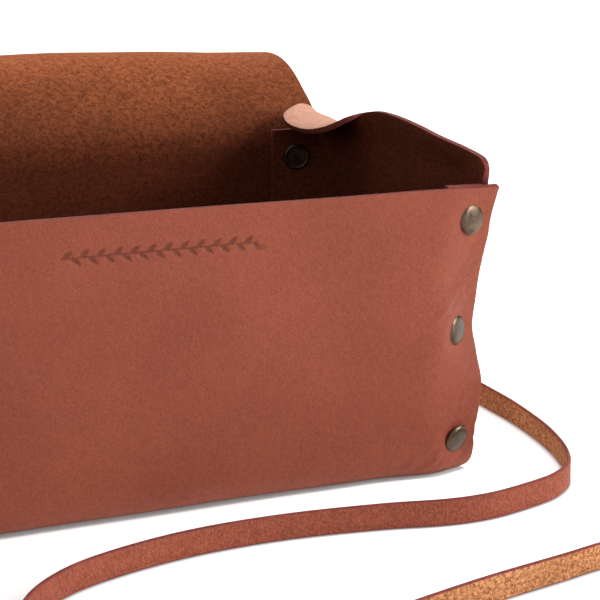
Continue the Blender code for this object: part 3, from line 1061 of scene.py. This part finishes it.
def grain_leather(name, tone, deep, pressed=False, stretched=None, pebble=1.0):
    """Smooth vegetable-tanned grain: a fine pebble, soft mottling and darker pores.

    The mesh's mark darkens it where pressed: the leaf row, and painted shade in the crease valleys.
    With stretched, the mark turns it paler: a painted highlight where the ear curls.
    """
    n = Nodes(name)
    broad = n.span(n.noise(26, 3, 0.55), 0.35, 0.68)
    mottle = n.span(n.noise(430, 3, 0.6, 0.4), 0.36, 0.66)
    fine = n.noise(1500, 2, 0.6)
    colour = n.mix(n.math("MULTIPLY", broad, 0.55), tone, deep)
    colour = n.mix(n.math("MULTIPLY", mottle, 0.34 * pebble), colour, deep)
    pebbles = n.span(n.noise(1000, 2, 0.5, 0.3), 0.40, 0.62, 0.0, 0.26 * pebble)
    colour = n.mix(pebbles, colour, toned(tone, 1.45))
    pore = n.span(n.cell_edges(1150, n.stretched((1.0, 1.0, 0.8))), 0.0, 0.22)
    colour = n.mix(n.span(pore, 0.0, 1.0, 0.30, 0.0), colour, toned(deep, 0.62))
    rough = n.span(n.math("ADD", mottle, fine), 0.4, 1.5, 0.50, 0.68)
    # Darker where marked: the pressed leaf row, and painted shade in the crease valleys.
    if pressed:
        mark = n.attribute("mark")
        colour = n.mix(n.math("MULTIPLY", mark, 0.62), colour, toned(deep, 0.42))
    # Painted highlight: where the mark is, the colour goes over to the paler one given as stretched.
    if stretched:
        pale = n.mix(mottle, stretched, toned(stretched, 0.86))
        colour = n.mix(n.attribute("mark"), colour, pale)
    hide = n.bump(n.noise(160, 3, 0.5), 0.0004, 0.35)
    relief = n.bump(pore, 0.00013, 0.45 * pebble, hide)
    relief = n.bump(mottle, 0.00018, 0.40, relief)
    relief = n.bump(pebbles, 0.0004, 0.35 * pebble, relief)
    return n.finish(colour, rough, relief, Specular_IOR_Level=0.17)


def suede(name, dark, light, fleck, sheen=0.0, painted_shade=None, grit=560):
    """Flesh side: short matted fibres, mottled from dark to light.

    Given a (dark, light) pair of painted shade colours, it goes over to that pair from the lid's crest down
    into the bag: painted shade, darker lower down and further to the right.
    """
    n = Nodes(name)
    drawn = n.stretched((1.0, 0.8, 1.25))
    clumps = n.noise(grit, 3, 0.65, 0.2, drawn)
    fibres = n.noise(1250, 4, 0.72, 0.9, drawn)
    broad = n.span(n.noise(34, 3, 0.55), 0.32, 0.68, 0.72, 1.18)
    share = n.math("ADD", n.math("MULTIPLY", clumps, 0.42), n.math("MULTIPLY", fibres, 0.58))
    share = n.math("MULTIPLY", n.span(share, 0.5 - 0.13 / fleck, 0.5 + 0.15 / fleck), broad)
    colour = n.mix(share, dark, light)
    if painted_shade:
        # Painted shade: how much of the flesh's own colour stays, falling from the crest down into the bag
        # and towards the right.
        level = n.math("SUBTRACT", n.axis("Z"), n.math("MULTIPLY", n.axis("X"), 0.030))
        level = n.math("ADD", level, n.math("MULTIPLY", n.noise(30, 2), 0.010))
        level = n.math("POWER", n.span(level, 0.0890, 0.1250), 1.35)
        colour = n.mix(level, n.mix(share, *painted_shade), colour)
    rough = n.span(fibres, 0.3, 0.7, 0.84, 1.0)
    relief = n.bump(clumps, 0.0005, 0.6)
    relief = n.bump(fibres, 0.0004, 0.8, relief)
    return n.finish(colour, rough, relief, Specular_IOR_Level=0.06, Sheen_Weight=sheen,
                    Sheen_Roughness=0.5, Sheen_Tint=toned(light, 1.7))


def burnished_edge(name, tone):
    """A cut edge, dyed and rubbed: fine layers along it and a soft shine."""
    n = Nodes(name)
    fibre = n.noise(900, 4, 0.65, 0.6)
    colour = n.mix(n.span(fibre, 0.35, 0.65), tone, toned(tone, 0.55))
    colour = n.mix(n.span(n.noise(60, 2), 0.5, 0.75, 0.0, 0.35), colour, toned(tone, 1.6))
    rough = n.span(fibre, 0.3, 0.7, 0.62, 0.80)
    return n.finish(colour, rough, n.bump(fibre, 0.0002, 0.6), Specular_IOR_Level=0.08)


def antique_brass(name, tone, rubbed, rough_low):
    """Dark plated brass, rubbed lighter in patches, with fine scratches."""
    n = Nodes(name)
    patches = n.span(n.noise(520, 4, 0.6, 0.5), 0.38, 0.68)
    worn = n.span(n.noise(130, 3, 0.6), 0.42, 0.70)
    colour = n.mix(patches, tone, toned(tone, 1.9))
    colour = n.mix(n.math("MULTIPLY", worn, 0.5), colour, rubbed)
    scratch = n.noise(2600, 2, 0.5, 0.0, n.stretched((1.0, 1.0, 0.06)))
    rough = n.span(n.math("ADD", patches, scratch), 0.3, 1.4, rough_low, rough_low + 0.22)
    return n.finish(colour, rough, n.bump(scratch, 0.00003, 0.35), Metallic=1.0)


TERRACOTTA = (0.254, 0.0610, 0.0320)
TERRACOTTA_DEEP = (0.178, 0.0375, 0.0195)
# Painted highlight: the pale colour of the curled ear's grain, standing in for light glancing off it.
PAINTED_HIGHLIGHT = (0.54, 0.250, 0.160)
BURGUNDY = (0.182, 0.039, 0.034)
STRAP_EDGE = (0.250, 0.058, 0.046)
# Painted shade: the flesh colours inside the bag, the flesh's own brown made far darker where the shade
# falls in there.
PAINTED_SHADE = ((0.037, 0.0076, 0.0033), (0.136, 0.0305, 0.0118))

body_grain = grain_leather("body_grain", TERRACOTTA, TERRACOTTA_DEEP, pressed=True, pebble=0.55)
side_grain = grain_leather("side_grain", (0.308, 0.081, 0.044), TERRACOTTA_DEEP,
                           stretched=PAINTED_HIGHLIGHT)
lid_grain = grain_leather("lid_grain", (0.307, 0.078, 0.040), (0.217, 0.048, 0.025))
strap_grain = grain_leather("strap_grain", (0.300, 0.076, 0.039), (0.190, 0.040, 0.021), pebble=1.7)
# All the flesh inside the bag wears the painted shade colours.
inner_flesh_painted_shade = suede("inner_flesh_painted_shade", *PAINTED_SHADE, 0.8)
lid_flesh = suede("lid_flesh", (0.125, 0.029, 0.0092), (0.450, 0.134, 0.048), 1.1, 0.12, PAINTED_SHADE)
strap_flesh = suede("strap_flesh", (0.220, 0.074, 0.028), (0.620, 0.285, 0.127), 1.9, 0.1, grit=820)
cut_edge = burnished_edge("cut_edge", BURGUNDY)
strap_edge = burnished_edge("strap_edge", STRAP_EDGE)
cap_brass = antique_brass("cap_brass", (0.062, 0.043, 0.030), (0.190, 0.132, 0.088), 0.26)
# The inner caps take a darker copy of the brass: painted shade, as they sit inside the bag.
back_brass_painted_shade = antique_brass("back_brass_painted_shade", (0.040, 0.029, 0.018), (0.110, 0.075, 0.046), 0.36)


def dress(item, *materials):
    """Puts the materials in the item's slots, in order."""
    while len(item.data.materials) < len(materials):
        item.data.materials.append(None)
    for k, made in enumerate(materials):
        item.data.materials[k] = made


# ------------------------ build
bag_body = body()
right_side = side("side_right", 1, curled_ear, "ear_right", "ear_right", "side_panel_right")
left_side = side("side_left", -1, plain_ear, "ear_left", "ear_left", "side_panel_left")
lid_pieces = lid()
rivet_pieces = corner_rivets()

dress(tie, strap_grain, strap_flesh, strap_edge)
dress(bag_body, body_grain, inner_flesh_painted_shade, cut_edge)
dress(right_side, side_grain, inner_flesh_painted_shade, cut_edge)
dress(left_side, side_grain, inner_flesh_painted_shade, cut_edge)
for piece in lid_pieces:
    dress(piece, lid_grain, lid_flesh, cut_edge)
for piece in rivet_pieces:
    dress(piece, cap_brass, back_brass_painted_shade)


# ------------------------ table top and light
TABLE_REACH = 4.0
TABLE_GAP = 0.0001
CURVE_START, CURVE_RADIUS = 1.0, 0.8
CURVE_PARTS = 12
BACKDROP_TOP = 2.6
# Reach of the contact shadow, and how much light the table and the air give off
CONTACT = 0.0023
FLOOR_GLOW = 0.50
WORLD_GLOW = 0.50


def table_top():
    """A pale table that runs up smoothly into the backdrop."""
    bm = bmesh.new()
    rim = []
    line = [(-TABLE_REACH, 0.0), (CURVE_START, 0.0)]
    for k in range(1, CURVE_PARTS + 1):
        angle = math.radians(90 * k / CURVE_PARTS)
        line.append((CURVE_START + CURVE_RADIUS * math.sin(angle),
                     CURVE_RADIUS * (1 - math.cos(angle))))
    line.append((CURVE_START + CURVE_RADIUS, BACKDROP_TOP))
    for y, z in line:
        rim.append([bm.verts.new((x, y, z - TABLE_GAP)) for x in (-TABLE_REACH, TABLE_REACH)])
    for (a, b), (c, d) in zip(rim, rim[1:]):
        bm.faces.new((a, b, d, c)).smooth = True
    item = add("table_top", to_mesh("table_top", bm))
    n = Nodes("table_white")
    # Painted contact shadow: near other things the table's colour goes grey and its glow dims.
    near = n.node("ShaderNodeAmbientOcclusion", samples=12)
    near.inputs["Distance"].default_value = CONTACT
    open_floor = n.span(near.outputs["AO"], 0.45, 0.80, 0.30, 1.0)
    white = n.mix(n.noise(2.0), (0.77, 0.77, 0.775), (0.79, 0.79, 0.79))
    n.finish(n.mix(open_floor, (0.30, 0.31, 0.315), white), 0.75, None,
             Specular_IOR_Level=0.1, Emission_Color=(1.0, 1.0, 1.0))
    n.link(n.math("MULTIPLY", open_floor, FLOOR_GLOW), n.shader.inputs["Emission Strength"])
    item.data.materials.append(n.material)


def soft_light(name, place, aim, size, power):
    """A white softbox aimed at a place."""
    data = bpy.data.lights.new(name, "AREA")
    data.shape = "RECTANGLE"
    data.size, data.size_y = size
    data.energy = power
    item = add(name, data)
    item.location = place
    item.rotation_euler = (Vector(aim) - Vector(place)).to_track_quat("-Z", "Y").to_euler()


bpy.context.scene.view_settings.view_transform = "Standard"
table_top()
world = bpy.data.worlds.new("studio")
world.use_nodes = True
world.node_tree.nodes["Background"].inputs["Color"].default_value = (1.0, 1.0, 1.0, 1.0)
world.node_tree.nodes["Background"].inputs["Strength"].default_value = WORLD_GLOW
bpy.context.scene.world = world
soft_light("back_top", (0.25, 0.75, 1.15), (0.0, 0.05, 0.05), (1.3, 0.9), 13)
soft_light("front_fill", (-0.45, -1.25, 0.85), (0.05, -0.05, 0.05), (1.1, 1.1), 2.5)
soft_light("right_fill", (0.78, -0.50, 0.44), (0.10, -0.06, 0.05), (0.4, 0.4), 9)
